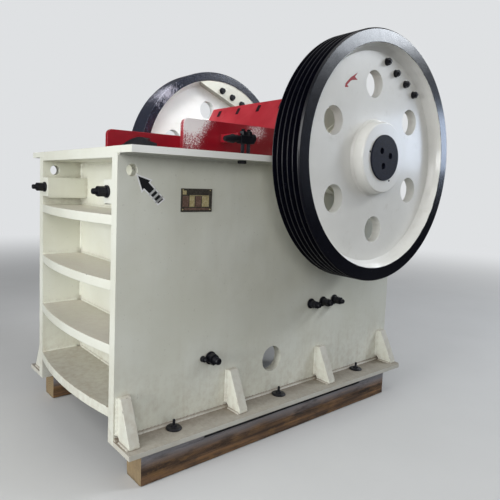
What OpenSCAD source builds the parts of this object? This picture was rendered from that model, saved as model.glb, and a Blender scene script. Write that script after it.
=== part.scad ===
// Single-toggle jaw crusher on two timber skids.
// Design axes: X runs from the feed end to the rear, Y across the machine, Z up from the base
// flange's underside. placed() shifts this to the middle of the footprint at ground level.

/* [Frame] */
// Length of the side plates
frame_l = 2300; // [2200:10:2400]
// Width over the side plates
frame_w = 1086; // [1040:2:1140]
// Height of the side plates under the top flange
frame_h = 1450; // [1440:5:1470]
// Thickness of the side plates
plate_t = 56; // [50:1:60]
// Thickness of the top flange
flange_t = 34; // [28:1:40]
// Overhang of the top flange outside the side plates
flange_over = 136; // [120:2:140]
// Thickness of the base flanges
base_t = 26; // [20:1:40]
// Width of the base flanges outside the side plates
base_w = 168; // [150:2:180]
// Depth of the front bay between plate edges and front wall
bay_d = 262; // [240:2:280]
// Thickness of the front wall
wall_t = 45; // [40:1:50]
// Thickness of the bowed ribs
rib_t = 50; // [40:1:60]
// Height by which a rib bows out at its middle
rib_bow = 50; // [30:1:70]
// Spacing of the front ribs
rib_pitch = 324; // [315:1:325]

/* [Skids] */
// Height of the timbers
timber_h = 180; // [150:5:220]
// Width of the timbers
timber_w = 146; // [120:2:160]

/* [Guards] */
// Height of the side guards above the top flange
guard_h = 182; // [160:2:200]
// Thickness of the side guards
guard_t = 30; // [20:1:34]
// Distance of a guard's inner face from the middle
guard_y = 440; // [438:1:444]

/* [Wheels] */
// Outer radius of both wheels
wheel_r = 751; // [720:1:755]
// Distance of the wheels' outer faces from the middle
wheel_out = 919; // [910:1:930]
// Distance of the wheels' inner faces from the middle
wheel_in = 720; // [710:1:725]
// Number of belt grooves
grooves = 5; // [3:1:5]
// Pitch of the belt grooves
groove_pitch = 37; // [34:0.5:38]
// Radius of the circle of lightening holes
hole_ring_r = 443; // [430:1:450]
// Radius of a lightening hole in the grooved wheel
near_hole_r = 82; // [60:1:85]
// Radius of a lightening hole in the plain wheel
far_hole_r = 75; // [60:1:85]
// Angle of the first hole in the grooved wheel
near_hole_a = 94.5; // [0:0.5:120]
// Angle of the first hole in the plain wheel
far_hole_a = 98; // [0:0.5:120]
// Angle of the grooved wheel's counterweight
near_weight_a = 63; // [40:1:90]
// Angle of the plain wheel's counterweight
far_weight_a = 68; // [40:1:90]

/* [Shaft] */
// Distance of the shaft from the side plates' front edge
shaft_x = 1584; // [1560:1:1600]
// Height of the shaft above the base flange's underside
shaft_z = 1507; // [1500:1:1520]
// Radius of the bearing journals
journal_r = 120; // [110:1:125]
// Length by which the shaft ends stand out of the hubs
shaft_over = 10; // [2:1:12]
// Eccentricity of the middle journal
throw = 12; // [8:1:14]

/* [Jaws] */
// Pitch of the jaw teeth
tooth_pitch = 80; // [70:2:90]
// Height of the jaw teeth
tooth_h = 42; // [30:1:50]
// Half width of both jaw plates
jaw_half_w = 424; // [400:2:426]
// Distance of the fixed jaw's tooth tips from the front edge
fixed_tip_x = 450; // [430:2:460]
// Lean of the moving jaw from the vertical
jaw_lean = 21; // [19:0.5:21]

/* [Hidden] */
half_w = frame_w / 2;
in_w = half_w - plate_t;
top_z = frame_h + flange_t;
flange_y = half_w + flange_over;
flange_in = guard_y - 3;
flange_end = 2060;
base_y = half_w + base_w;
tie_tip = 82;
mid_x = (shaft_x + wheel_r - tie_tip) / 2;
wall_x2 = bay_d + wall_t;
seat_r = 235;
cap_r = 345;
cap_foot = 430;
cap_bolt = 386;
hole_y = 597;
gusset_x = [20, 720, 1499, 2202];
anchor_x = [326, 1106, 1886];
clamp_x = [720, 762];
guide_x = [1427, 1546, 1665];
jaw_low = [560, 120];
jaw_len = 1370;
jaw_t = 112;
guard_lean = 28.1;
toggle_a = [955, 268];
toggle_b = [1440, 500];
web_out = 847;
web_in = 789;
small_fn = 40;
round_fn = 96;

module placed() {
    translate([-mid_x, 0, timber_h]) children();
}

// Extrudes an X-Z outline across the machine between two distances from the middle.
module across(y0, y1) {
    translate([0, y1, 0]) rotate([90, 0, 0]) linear_extrude(y1 - y0) children();
}

// A disc or tube lying across the machine.
module barrel(r, y0, y1, x = 0, z = 0) {
    translate([x, y1, z]) rotate([90, 0, 0]) cylinder(r = r, h = y1 - y0, $fn = round_fn);
}

// A rod along the machine.
module rod_x(r, x0, x1, y, z, fn = 32) {
    translate([x0, y, z]) rotate([0, 90, 0]) cylinder(r = r, h = x1 - x0, $fn = fn);
}

// side plates

module side_outline() {
    difference() {
        polygon([[0, 0], [frame_l, 0], [frame_l, 950], [flange_end, frame_h], [0, frame_h]]);
        translate([78, 1372]) circle(r = 31, $fn = 48);
        translate([1087, 241]) circle(r = 80, $fn = 64);
        translate([shaft_x, shaft_z]) circle(r = seat_r, $fn = round_fn);
    }
}

module side_plate(s) {
    color("#ece8da") placed() mirror([0, s > 0 ? 0 : 1, 0])
        across(in_w, half_w) side_outline();
}

module side_plate_near() {
    side_plate(-1);
}

module side_plate_far() {
    side_plate(1);
}

// top flange

module top_flange_side(s) {
    color("#ece8da") placed() mirror([0, s > 0 ? 0 : 1, 0]) difference() {
        translate([0, flange_in, frame_h]) cube([flange_end, flange_y - flange_in, flange_t]);
        translate([-1, flange_in - 1, frame_h - 1]) cube([wall_x2 + 1, in_w - flange_in + 1, flange_t + 2]);
        barrel(seat_r, 0, flange_y + 10, shaft_x, shaft_z);
        for (x = clamp_x)
            translate([x, 610, frame_h - 1]) cylinder(r = 11.5, h = flange_t + 2, $fn = small_fn);
    }
}

module top_flange_near() {
    top_flange_side(-1);
}

module top_flange_far() {
    top_flange_side(1);
}

module top_flange_front() {
    color("#ece8da") placed() {
        translate([0, -in_w, frame_h]) cube([wall_x2, 2 * in_w, flange_t]);
        translate([0, -in_w, frame_h - 22]) cube([bay_d, 2 * in_w, 22]);
    }
}

// front and rear walls with bowed ribs

module front_wall() {
    color("#e2dccb") placed()
        translate([bay_d, -in_w, 130]) cube([wall_t, 2 * in_w, frame_h - 130]);
}

// Plan of a rib: straight at the wall, an arc at the free edge, notched at the wall's corners.
module rib_plan(depth, bow, half) {
    bow_r = (half * half + bow * bow) / (2 * bow);
    difference() {
        intersection() {
            translate([-bow, -half]) square([depth + bow, 2 * half]);
            translate([bow_r - bow, 0]) circle(r = bow_r, $fn = 360);
        }
        for (s = [-1, 1])
            translate([depth, s * half]) circle(r = 24, $fn = small_fn);
    }
}

module front_rib(k) {
    color("#ece8da") placed()
        translate([0, 0, 1152 - rib_t - k * rib_pitch])
            linear_extrude(rib_t) rib_plan(bay_d, rib_bow, in_w);
}

module front_rib_1() {
    front_rib(0);
}

module front_rib_2() {
    front_rib(1);
}

module front_rib_3() {
    front_rib(2);
}

module front_rib_4() {
    front_rib(3);
}

module rear_wall() {
    color("#e2dccb") placed() difference() {
        translate([1760, -in_w, 300]) cube([50, 2 * in_w, 850]);
        for (y = [-240, 240])
            rod_x(30, 1750, 1820, y, 551);
    }
}

module rear_ribs() {
    color("#ece8da") placed()
        for (z = [300, 640, 1000])
            translate([2200, 0, z]) mirror([1, 0, 0])
                linear_extrude(45) rib_plan(390, 40, in_w);
}

// base

module base_flange(s) {
    color("#d6cfbd") placed() mirror([0, s > 0 ? 0 : 1, 0]) difference() {
        linear_extrude(base_t)
            polygon([[0, half_w], [2275, half_w], [2275, base_y - 20], [2255, base_y], [0, base_y]]);
        for (x = anchor_x)
            translate([x, hole_y, -1]) cylinder(r = 18, h = base_t + 2, $fn = small_fn);
    }
}

module base_flange_near() {
    base_flange(-1);
}

module base_flange_far() {
    base_flange(1);
}

module gusset_outline() {
    difference() {
        polygon([[half_w, base_t], [half_w + 128, base_t], [half_w + 128, base_t + 22],
            [half_w + 34, base_t + 224], [half_w, base_t + 224]]);
        translate([half_w, base_t]) circle(r = 26, $fn = small_fn);
    }
}

module gussets(s) {
    color("#ece8da") placed() mirror([0, s > 0 ? 0 : 1, 0])
        for (x = gusset_x)
            translate([x, 0, 0]) rotate([90, 0, 90]) linear_extrude(60) gusset_outline();
}

module gussets_near() {
    gussets(-1);
}

module gussets_far() {
    gussets(1);
}

module timber(s) {
    color("#7a5234") placed() mirror([0, s > 0 ? 0 : 1, 0])
        difference() {
            translate([90, hole_y - timber_w / 2 + 1, -timber_h]) cube([2030, timber_w, timber_h]);
            for (x = anchor_x)
                translate([x, hole_y, -timber_h - 1]) cylinder(r = 18, h = timber_h + 2, $fn = small_fn);
        }
}

module timber_near() {
    timber(-1);
}

module timber_far() {
    timber(1);
}

// front tie blocks and side studs

module hex_nut_x(af, x0, x1, y, z) {
    translate([x0, y, z]) rotate([0, 90, 0]) cylinder(r = af / sqrt(3), h = x1 - x0, $fn = 6);
}

module tie_block(s) {
    y = in_w - 45;
    color("#e2dccb") placed() mirror([0, s > 0 ? 0 : 1, 0])
        translate([0, in_w - 90, 1204]) cube([bay_d, 90, 120]);
    color("#17181c") placed() mirror([0, s > 0 ? 0 : 1, 0]) {
        rod_x(31, -12, 0, y, 1264, 48);
        hex_nut_x(46, -58, -12, y, 1264);
        rod_x(15, -tie_tip, -58, y, 1264);
    }
}

module tie_block_near() {
    tie_block(-1);
}

module tie_block_far() {
    tie_block(1);
}

module side_stud(x, z, r, washer_r, nut_af, out) {
    barrel_small(washer_r, half_w, half_w + 10, x, z, 40);
    barrel_small(nut_af / sqrt(3), half_w + 10, half_w + 10 + nut_af * 0.75, x, z, 6);
    barrel_small(r, half_w + 10 + nut_af * 0.75, half_w + out, x, z, 32);
}

module barrel_small(r, y0, y1, x, z, fn) {
    translate([x, y1, z]) rotate([90, 0, 0]) cylinder(r = r, h = y1 - y0, $fn = fn);
}

module side_studs(s) {
    color("#17181c") placed() mirror([0, s > 0 ? 0 : 1, 0]) {
        for (x = guide_x)
            side_stud(x, 551, 16, 33, 42, 80);
        side_stud(597, 341, 20, 36, 56, 82);
        side_stud(542, 345, 9, 17, 27, 42);
    }
}

module side_studs_near() {
    side_studs(-1);
}

module side_studs_far() {
    side_studs(1);
}

module nameplate() {
    color("#b59a5a") placed()
        translate([367, -half_w - 4, 1166]) cube([203, 4, 123]);
}

// guards and clamps

module guard_outline() {
    difference() {
        union() {
            translate([421 + 36, top_z]) square([1345 - 457, guard_h]);
            translate([421, top_z]) square([37, guard_h - 36]);
            translate([421 + 36, top_z + guard_h - 36]) circle(r = 36, $fn = 64);
        }
        polygon([[1346, top_z + 60], [1346, top_z + guard_h + 1], [1290, top_z + guard_h + 1]]);
    }
}

module guard_plate(s) {
    color("#b5121f") placed() mirror([0, s > 0 ? 0 : 1, 0])
        across(guard_y, guard_y + guard_t) guard_outline();
}

module guard_plate_near() {
    guard_plate(-1);
}

module guard_plate_far() {
    guard_plate(1);
}

module clamp_bolt(x) {
    translate([x, 610, frame_h]) cylinder(r = 11, h = 172, $fn = 32);
    translate([x, 610, top_z + 100]) cylinder(r = 20, h = 24, $fn = 6);
}

module clamp(s) {
    color("#17181c") placed() mirror([0, s > 0 ? 0 : 1, 0]) {
        for (x = clamp_x)
            clamp_bolt(x);
        translate([clamp_x[0], 610, frame_h - 18]) cylinder(r = 24, h = 18, $fn = 6);
        translate([692, 588, top_z + 58]) cube([98, 44, 42]);
        translate([590, 610, top_z + 76]) rotate([0, 86, 0]) {
            cylinder(r1 = 14, r2 = 25, h = 60, $fn = 32);
            translate([0, 0, 60]) cylinder(r = 20, h = 152, $fn = 32);
        }
    }
    color("#b5121f") placed() mirror([0, s > 0 ? 0 : 1, 0])
        translate([600, 0, 0]) across(588, 600) polygon([[0, top_z], [74, top_z], [74, top_z + 104], [0, top_z + 128]]);
}

module clamp_near() {
    clamp(-1);
}

module clamp_far() {
    clamp(1);
}

// jaws

// Outline of a toothed plate seen along its teeth: back at x = depth, tips at x = 0.
module tooth_plan(depth, phase) {
    n = 12;
    steps = floor(2 * jaw_half_w / tooth_pitch * n);
    function wave(y) = tooth_h * pow(0.5 - 0.5 * cos(360 * (y / tooth_pitch + phase)), 0.75);
    pts = [for (i = [0:steps]) let (y = -jaw_half_w + 2 * jaw_half_w * i / steps) [wave(y), y]];
    polygon(concat(pts, [[depth, jaw_half_w], [depth, -jaw_half_w]]));
}

module fixed_jaw_plate() {
    color("#1d1d20") placed() intersection() {
        translate([fixed_tip_x, 0, 100]) mirror([1, 0, 0])
            linear_extrude(1500) tooth_plan(fixed_tip_x - wall_x2 - 1, 0);
        translate([wall_x2, 0, 0]) rotate([90, 0, 90]) linear_extrude(200) {
            translate([-500, 130]) square([1000, 1300]);
            translate([0, 1281]) circle(r = 305, $fn = 128);
        }
    }
}

module cheek_outline() {
    polygon([[wall_x2 + 1, 140], [700, 140], [1180, 1400], [wall_x2 + 1, 1400]]);
}

module cheek_plate(s) {
    color("#3a3b3d") placed() mirror([0, s > 0 ? 0 : 1, 0]) difference() {
        across(in_w - 40, in_w) cheek_outline();
        for (q = [[420, 400], [900, 1250], [480, 1250]])
            barrel(20, in_w - 41, in_w + 1, q[0], q[1]);
    }
}

module cheek_plate_near() {
    cheek_plate(-1);
}

module cheek_plate_far() {
    cheek_plate(1);
}

module leaned() {
    translate([jaw_low[0], 0, jaw_low[1]]) rotate([0, jaw_lean, 0]) children();
}

module moving_jaw_plate() {
    color("#2a2a2d") placed() leaned()
        linear_extrude(jaw_len) tooth_plan(jaw_t, 0.5);
}

// Side outline of the swing jaw casting's ribs.
module stem_outline() {
    polygon([[668, 82], [835, 62], [925, 110], [968, 205], [950, 350], [1010, 470], [1700, 1232],
        [1584, 1507], [1290, 1525], [1184, 1425]]);
}

module pitman() {
    color("#a8121e") placed() difference() {
        union() {
            leaned() translate([jaw_t, -425, 6]) cube([60, 850, 1440]);
            barrel(300, -425, 425, shaft_x, shaft_z);
            for (y = [-425, -160, 115, 380])
                across(y, y + 45) stem_outline();
            across(-380, 380)
                polygon([[735, 74], [835, 62], [925, 110], [968, 205], [950, 350], [840, 330]]);
            translate([745, -60, 90]) cube([180, 120, 110]);
        }
        barrel(seat_r - 80, -430, 430, shaft_x, shaft_z);
        barrel(35.4, -381, 381, toggle_a[0], toggle_a[1]);
        rod_x(22.05, 860, 1010, 0, 150, 40);
        barrel(220, -426, -405, shaft_x, shaft_z);
        barrel(220, 405, 426, shaft_x, shaft_z);
    }
}

module jaw_guard_outline() {
    translate([1115, 1520]) rotate(-guard_lean) square([18, 422]);
}

module jaw_guard() {
    color("#c3202b") placed() difference() {
        union() {
            across(-430, 430) jaw_guard_outline();
            for (y = [-430, -221, -12, 197, 406])
                across(y, y + 24)
                    polygon([[1140, 1532], [1284, 1530], [1310, 1630], [1372, 1719], [1470, 1784],
                        [1330, 1858]]);
        }
        for (y = [-325, -108, 108, 325])
            translate([1290, y, 1846]) rotate([0, guard_lean, 0])
                translate([-40, -11, -22]) cube([80, 22, 44]);
        barrel(300, -440, 440, shaft_x, shaft_z);
    }
}

// toggle and tension gear

module toggle_plate() {
    dx = toggle_b[0] - toggle_a[0];
    dz = toggle_b[1] - toggle_a[1];
    len = sqrt(dx * dx + dz * dz);
    color("#6d6f72") placed() translate([toggle_a[0], 0, toggle_a[1]]) rotate([0, -atan2(dz, dx), 0]) difference() {
        union() {
            barrel(35, -360, 360, 0, 0);
            barrel(35, -360, 360, len, 0);
            translate([0, -360, -24]) cube([len, 720, 48]);
        }
        for (y = [-180, 180])
            translate([len / 2, y, -30]) cylinder(r = 60, h = 60, $fn = 64);
    }
}

module toggle_block() {
    color("#5f6165") placed() difference() {
        across(-430, 430) polygon([[1455, 430], [1759, 430], [1759, 670], [1480, 670], [1455, 600]]);
        barrel(54, -431, 431, 1440, 500);
    }
}

module spring_beam() {
    color("#ece8da") placed() difference() {
        translate([1960, -in_w, 80]) cube([50, 2 * in_w, 150]);
        rod_x(38, 1950, 2020, 0, 150, 48);
    }
}

module tension_rod() {
    color("#2b2c30") placed() {
        rod_x(22, 860, 2262, 0, 150, 40);
        rod_x(74, 2200, 2212, 0, 150, 64);
        hex_nut_x(66, 2212, 2246, 0, 150);
    }
}

module tension_spring() {
    turns = 5;
    per = 16;
    sides = 8;
    wire = 12;
    coil = 62;
    x0 = 2024;
    pitch = 28.5;
    n = turns * per;
    pts = [for (i = [0:n]) let (a = 360 * i / per, x = x0 + pitch * i / per)
        for (k = [0:sides - 1]) let (b = 360 * k / sides, r = coil + wire * cos(b))
            [x + wire * sin(b), r * cos(a), r * sin(a)]];
    tube = [for (i = [0:n - 1]) for (k = [0:sides - 1]) let (k2 = (k + 1) % sides, a = i * sides, b = (i + 1) * sides)
        [a + k, b + k, b + k2, a + k2]];
    ends = [[for (k = [0:sides - 1]) k], [for (k = [sides - 1:-1:0]) n * sides + k]];
    color("#23242a") placed() translate([0, 0, 150]) polyhedron(points = pts, faces = concat(tube, ends), convexity = 6);
}

// bearings, shaft and wheels

// Outline of a bearing cap: a half round over two feet.
module cap_outline() {
    intersection() {
        translate([shaft_x, shaft_z]) circle(r = cap_r, $fn = round_fn);
        translate([shaft_x - cap_r, top_z]) square([2 * cap_r, cap_r + 40]);
    }
    translate([shaft_x - cap_foot, top_z]) square([2 * cap_foot, 58]);
}

module bearing_housing(s) {
    color("#ece8da") placed() mirror([0, s > 0 ? 0 : 1, 0]) difference() {
        union() {
            barrel(seat_r - 20, 448, in_w, shaft_x, shaft_z);
            barrel(seat_r, in_w, 612, shaft_x, shaft_z);
            barrel(seat_r - 22, 612, 655, shaft_x, shaft_z);
            barrel(178, 655, 690, shaft_x, shaft_z);
            across(496, 604) cap_outline();
        }
        barrel(journal_r + 0.05, 440, 700, shaft_x, shaft_z);
        for (x = [-1, 1])
            translate([shaft_x + x * cap_bolt, 550, top_z - 1]) cylinder(r = 20, h = 61, $fn = small_fn);
    }
}

module bearing_housing_near() {
    bearing_housing(-1);
}

module bearing_housing_far() {
    bearing_housing(1);
}

module eccentric_shaft() {
    color("#2b2c30") placed() {
        difference() {
            union() {
                barrel(journal_r, -700, 700, shaft_x, shaft_z);
                barrel(135, -425, 425, shaft_x, shaft_z + throw);
                barrel(journal_r - 5, -905, 905, shaft_x, shaft_z);
                barrel(136, -wheel_out - shaft_over, -905, shaft_x, shaft_z);
                barrel(136, 905, wheel_out + shaft_over, shaft_x, shaft_z);
            }
            for (s = [-1, 1])
                for (a = [14, 134, 254])
                    barrel(19, s > 0 ? 890 : -wheel_out - 20, s > 0 ? wheel_out + 20 : -890,
                        shaft_x + 53 * cos(a), shaft_z + 53 * sin(a));
        }
    }
}

// Half section of a wheel: radius along x, distance from the middle along y.
module wheel_section(ring_in, grooved) {
    draft = 16;
    difference() {
        polygon([
            [journal_r - 5, 700], [226, 700], [236, web_in - 22], [262, web_in],
            [ring_in - draft - 20, web_in], [ring_in - draft, web_in - 20], [ring_in, wheel_in],
            [wheel_r - 6, wheel_in], [wheel_r, wheel_in + 6],
            [wheel_r, wheel_out - 8], [wheel_r - 8, wheel_out],
            [ring_in, wheel_out], [ring_in - draft, web_out + 20], [ring_in - draft - 20, web_out],
            [234, web_out], [223, web_out + 10], [214, wheel_out - 8], [206, wheel_out],
            [137, wheel_out], [137, 905], [journal_r - 5, 905]
        ]);
        if (grooved)
            for (i = [0:grooves - 1]) {
                y = (wheel_in + wheel_out) / 2 - 2 + groove_pitch * (i - (grooves - 1) / 2);
                polygon([[wheel_r + 1, y - 15.4], [wheel_r - 27, y - 6], [wheel_r - 27, y + 6], [wheel_r + 1, y + 15.4]]);
            }
    }
}

module wheel(ring_in, grooved, hole_a, hole_r) {
    difference() {
        rotate([-90, 0, 0]) rotate_extrude($fn = 180) wheel_section(ring_in, grooved);
        for (k = [0:5])
            barrel(hole_r, 700, 900, hole_ring_r * cos(hole_a + 60 * k), hole_ring_r * sin(hole_a + 60 * k));
    }
}

module flywheel_grooved() {
    color("#15161a") placed() translate([shaft_x, 0, shaft_z]) mirror([0, 1, 0])
        wheel(wheel_r - 80, true, near_hole_a, near_hole_r);
}

module flywheel_plain() {
    color("#15161a") placed() translate([shaft_x, 0, shaft_z])
        wheel(wheel_r - 67, false, far_hole_a, far_hole_r);
}

// A circle segment that fits the recess, bolted to the web, its chord square to direction a.
module weight(ring_in, a) {
    rotate([0, -a, 0]) intersection() {
        rotate([-90, 0, 0]) rotate_extrude($fn = 180)
            polygon([[400, 724], [ring_in - 4, 724], [ring_in - 20, web_in - 21],
                [ring_in - 39, web_in], [400, web_in]]);
        translate([532, 700, -500]) cube([400, 200, 1000]);
    }
}

module counterweight_near() {
    color("#ece8da") placed() translate([shaft_x, 0, shaft_z]) mirror([0, 1, 0])
        weight(wheel_r - 80, near_weight_a);
}

module counterweight_far() {
    color("#ece8da") placed() translate([shaft_x, 0, shaft_z])
        weight(wheel_r - 67, far_weight_a);
}

side_plate_near();
side_plate_far();
top_flange_near();
top_flange_far();
top_flange_front();
front_wall();
front_rib_1();
front_rib_2();
front_rib_3();
front_rib_4();
rear_wall();
rear_ribs();
base_flange_near();
base_flange_far();
gussets_near();
gussets_far();
timber_near();
timber_far();
tie_block_near();
tie_block_far();
side_studs_near();
side_studs_far();
nameplate();
guard_plate_near();
guard_plate_far();
clamp_near();
clamp_far();
fixed_jaw_plate();
cheek_plate_near();
cheek_plate_far();
toggle_plate();
toggle_block();
spring_beam();
tension_rod();
tension_spring();
bearing_housing_near();
bearing_housing_far();
moving_jaw_plate();
pitman();
jaw_guard();
eccentric_shaft();
flywheel_grooved();
flywheel_plain();
counterweight_near();
counterweight_far();
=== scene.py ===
"""Dresses the jaw crusher: paint, castings, timbers, fasteners, welds and painted marks."""
import math
import random

import bmesh
import bpy
from mathutils import Matrix, Vector, noise


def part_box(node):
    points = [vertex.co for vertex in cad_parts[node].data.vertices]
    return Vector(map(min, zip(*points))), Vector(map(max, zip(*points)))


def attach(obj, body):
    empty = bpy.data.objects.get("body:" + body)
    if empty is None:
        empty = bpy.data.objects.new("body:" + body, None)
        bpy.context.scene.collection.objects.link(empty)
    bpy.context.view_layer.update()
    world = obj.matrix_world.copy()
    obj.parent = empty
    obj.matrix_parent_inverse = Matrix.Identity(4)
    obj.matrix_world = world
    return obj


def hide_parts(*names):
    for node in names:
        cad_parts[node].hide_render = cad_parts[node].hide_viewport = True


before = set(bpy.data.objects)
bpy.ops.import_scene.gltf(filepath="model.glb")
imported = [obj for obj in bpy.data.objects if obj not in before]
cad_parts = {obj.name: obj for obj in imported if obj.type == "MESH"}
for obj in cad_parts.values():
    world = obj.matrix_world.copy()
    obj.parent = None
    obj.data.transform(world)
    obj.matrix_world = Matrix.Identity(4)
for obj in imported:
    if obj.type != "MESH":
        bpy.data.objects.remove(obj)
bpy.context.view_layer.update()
random.seed(7)

# Measures of the machine, in metres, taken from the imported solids
PLATE_LOW, PLATE_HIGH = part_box("side_plate_near")
WHEEL_LOW, WHEEL_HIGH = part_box("flywheel_grooved")
CORNER = Vector((PLATE_LOW.x, 0.0, PLATE_LOW.z))
PLATE_OUT = -PLATE_LOW.y
PLATE_IN = -PLATE_HIGH.y
FLANGE_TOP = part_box("top_flange_near")[1].z - CORNER.z
FLANGE_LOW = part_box("top_flange_near")[0].z - CORNER.z
BASE_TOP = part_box("base_flange_near")[1].z - CORNER.z
BASE_OUT = -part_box("base_flange_near")[0].y
SHAFT = Vector(((WHEEL_LOW.x + WHEEL_HIGH.x) / 2, 0.0, (WHEEL_LOW.z + WHEEL_HIGH.z) / 2))
WHEEL_R = (WHEEL_HIGH.x - WHEEL_LOW.x) / 2
WHEEL_OUT = -WHEEL_LOW.y
RING_IN_NEAR = WHEEL_R - 0.080
RING_IN_FAR = WHEEL_R - 0.067

# Measures that no box gives, in metres
WEB_OUT = 0.847
WEIGHT_IN = 0.724
RECESS = 0.262  # depth of the front bays
RIB_TOPS = [1.152 - 0.324 * k for k in range(4)]
RIB_THICK = 0.050
TIE_LOW, TIE_TOP, TIE_WIDE = 1.204, 1.324, 0.090
TOGGLE_UP = 0.551  # middle of the toggle block
ROD_UP = 0.150  # middle of the tension rod
# Both sides of each gusset: the place along the base, and which way the side faces
GUSSET_SIDES = [(along, way) for start in (0.020, 0.720, 1.499, 2.202)
                for along, way in ((start, -1), (start + 0.060, 1))]
SIDES = (("near", -1), ("far", 1))


def place(along, across, up):
    """A point given from the front edge, the middle and the base's underside."""
    return CORNER + Vector((along, across, up))


def tone(hexcode):
    """A written colour as the linear RGBA that the shader takes."""
    parts = [int(hexcode[i:i + 2], 16) / 255 for i in (0, 2, 4)]
    linear = [c / 12.92 if c <= 0.04045 else ((c + 0.055) / 1.055) ** 2.4 for c in parts]
    return (*linear, 1.0)


# Shader maths


class Wire:
    """One output of a node. Arithmetic with numbers or other wires adds Math nodes."""

    def __init__(self, finish, socket):
        self.finish = finish
        self.socket = socket

    def _math(self, operation, a, b):
        return self.finish.node("ShaderNodeMath", {"operation": operation}, {0: a, 1: b})

    def __add__(self, other):
        return self._math("ADD", self, other)

    def __radd__(self, other):
        return self._math("ADD", other, self)

    def __sub__(self, other):
        return self._math("SUBTRACT", self, other)

    def __rsub__(self, other):
        return self._math("SUBTRACT", other, self)

    def __mul__(self, other):
        return self._math("MULTIPLY", self, other)


class Finish:
    """A material, or the world, under construction."""

    def __init__(self, name, world=False):
        self.made = (bpy.data.worlds if world else bpy.data.materials).new(name)
        self.made.use_nodes = True
        self.end = "ShaderNodeOutputWorld" if world else "ShaderNodeOutputMaterial"
        self.tree = self.made.node_tree
        self.tree.nodes.clear()

    def node(self, kind, settings=None, sockets=None, output=0):
        """Adds a node: its settings first, then values or wires for its sockets."""
        made = self.tree.nodes.new(kind)
        for key, value in (settings or {}).items():
            setattr(made, key, value)
        for key, value in (sockets or {}).items():
            if isinstance(value, Wire):
                self.tree.links.new(value.socket, made.inputs[key])
            else:
                made.inputs[key].default_value = value
        return Wire(self, made.outputs[output])

    def spot(self):
        """Where on the machine a point lies, in metres; it turns with the piece's body."""
        return self.node("ShaderNodeTexCoord", output="Object")

    def axis(self, vector, name):
        return self.node("ShaderNodeSeparateXYZ", None, {0: vector}, name)

    def facing(self, name):
        return self.axis(self.node("ShaderNodeTexCoord", output="Normal"), name)

    def unsigned(self, value):
        return self.node("ShaderNodeMath", {"operation": "ABSOLUTE"}, {0: value})

    def wave(self, value):
        return self.node("ShaderNodeMath", {"operation": "SINE"}, {0: value})

    def stretch(self, vector, factors):
        return self.node("ShaderNodeVectorMath", {"operation": "MULTIPLY"}, {0: vector, 1: factors})

    def shift(self, vector, offset):
        return self.node("ShaderNodeVectorMath", {"operation": "SUBTRACT"}, {0: vector, 1: offset})

    def span(self, vector):
        return self.node("ShaderNodeVectorMath", {"operation": "LENGTH"}, {0: vector}, "Value")

    def noise(self, vector, scale, detail=2.0, roughness=0.5):
        values = {"Vector": vector, "Scale": scale, "Detail": detail, "Roughness": roughness}
        return self.node("ShaderNodeTexNoise", None, values, "Fac")

    def ease(self, value, low, high):
        """0 below low, 1 above high, smooth between them; the other way round if low > high."""
        settings = {"interpolation_type": "SMOOTHSTEP", "clamp": True}
        if low > high:
            return 1 - self.ease(value, high, low)
        return self.node("ShaderNodeMapRange", settings, {"Value": value, "From Min": low, "From Max": high})

    def mix(self, factor, a, b):
        """Colour a where factor is 0, colour b where it is 1."""
        settings = {"data_type": "RGBA", "clamp_factor": True}
        return self.node("ShaderNodeMix", settings, {0: factor, 6: a, 7: b}, 2)

    def bump(self, height, depth):
        return self.node("ShaderNodeBump", None, {"Height": height, "Distance": depth})

    def surface(self, shader):
        """Ends the material or the world in a shader."""
        out = self.tree.nodes.new(self.end)
        self.tree.links.new(shader.socket, out.inputs["Surface"])
        return self.made

    def close(self, base, roughness, normal, metallic=0.0, **plain):
        """Ends the material in one plain shader; further values go straight to its sockets."""
        values = {"Base Color": base, "Roughness": roughness, "Normal": normal, "Metallic": metallic}
        values.update({key.replace("_", " "): value for key, value in plain.items()})
        return self.surface(self.node("ShaderNodeBsdfPrincipled", None, values))


# Finishes


def corner_shade_and_grime(f, reach):
    """Painted shade and grime: 1 in corners and seams, where little sky reaches, 0 in the open."""
    sky = f.node("ShaderNodeAmbientOcclusion", {"samples": 6}, {"Distance": reach}, "AO")
    return f.ease(sky, 0.85, 0.35)


def broken_edge(f):
    """1 on the narrow faces that break a solid's edges, 0 elsewhere."""
    return f.node("ShaderNodeAttribute", {"attribute_name": "edge"}, None, "Fac")


def edge_chips(f, spot, scale, low, high):
    """1 where the paint has come off a broken edge."""
    return broken_edge(f) * f.ease(f.noise(spot, scale, 5.0, 0.75), low, high)


def thin_dust(f, fine):
    """1 where dust lies on a level top, in fine patches."""
    return f.ease(f.facing("Z"), 0.6, 0.95) * f.ease(fine, 0.3, 0.7)


def from_shaft(f, spot):
    """Distance from the shaft's middle line."""
    return f.span(f.stretch(f.shift(spot, SHAFT), (1.0, 0.0, 1.0)))


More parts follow.
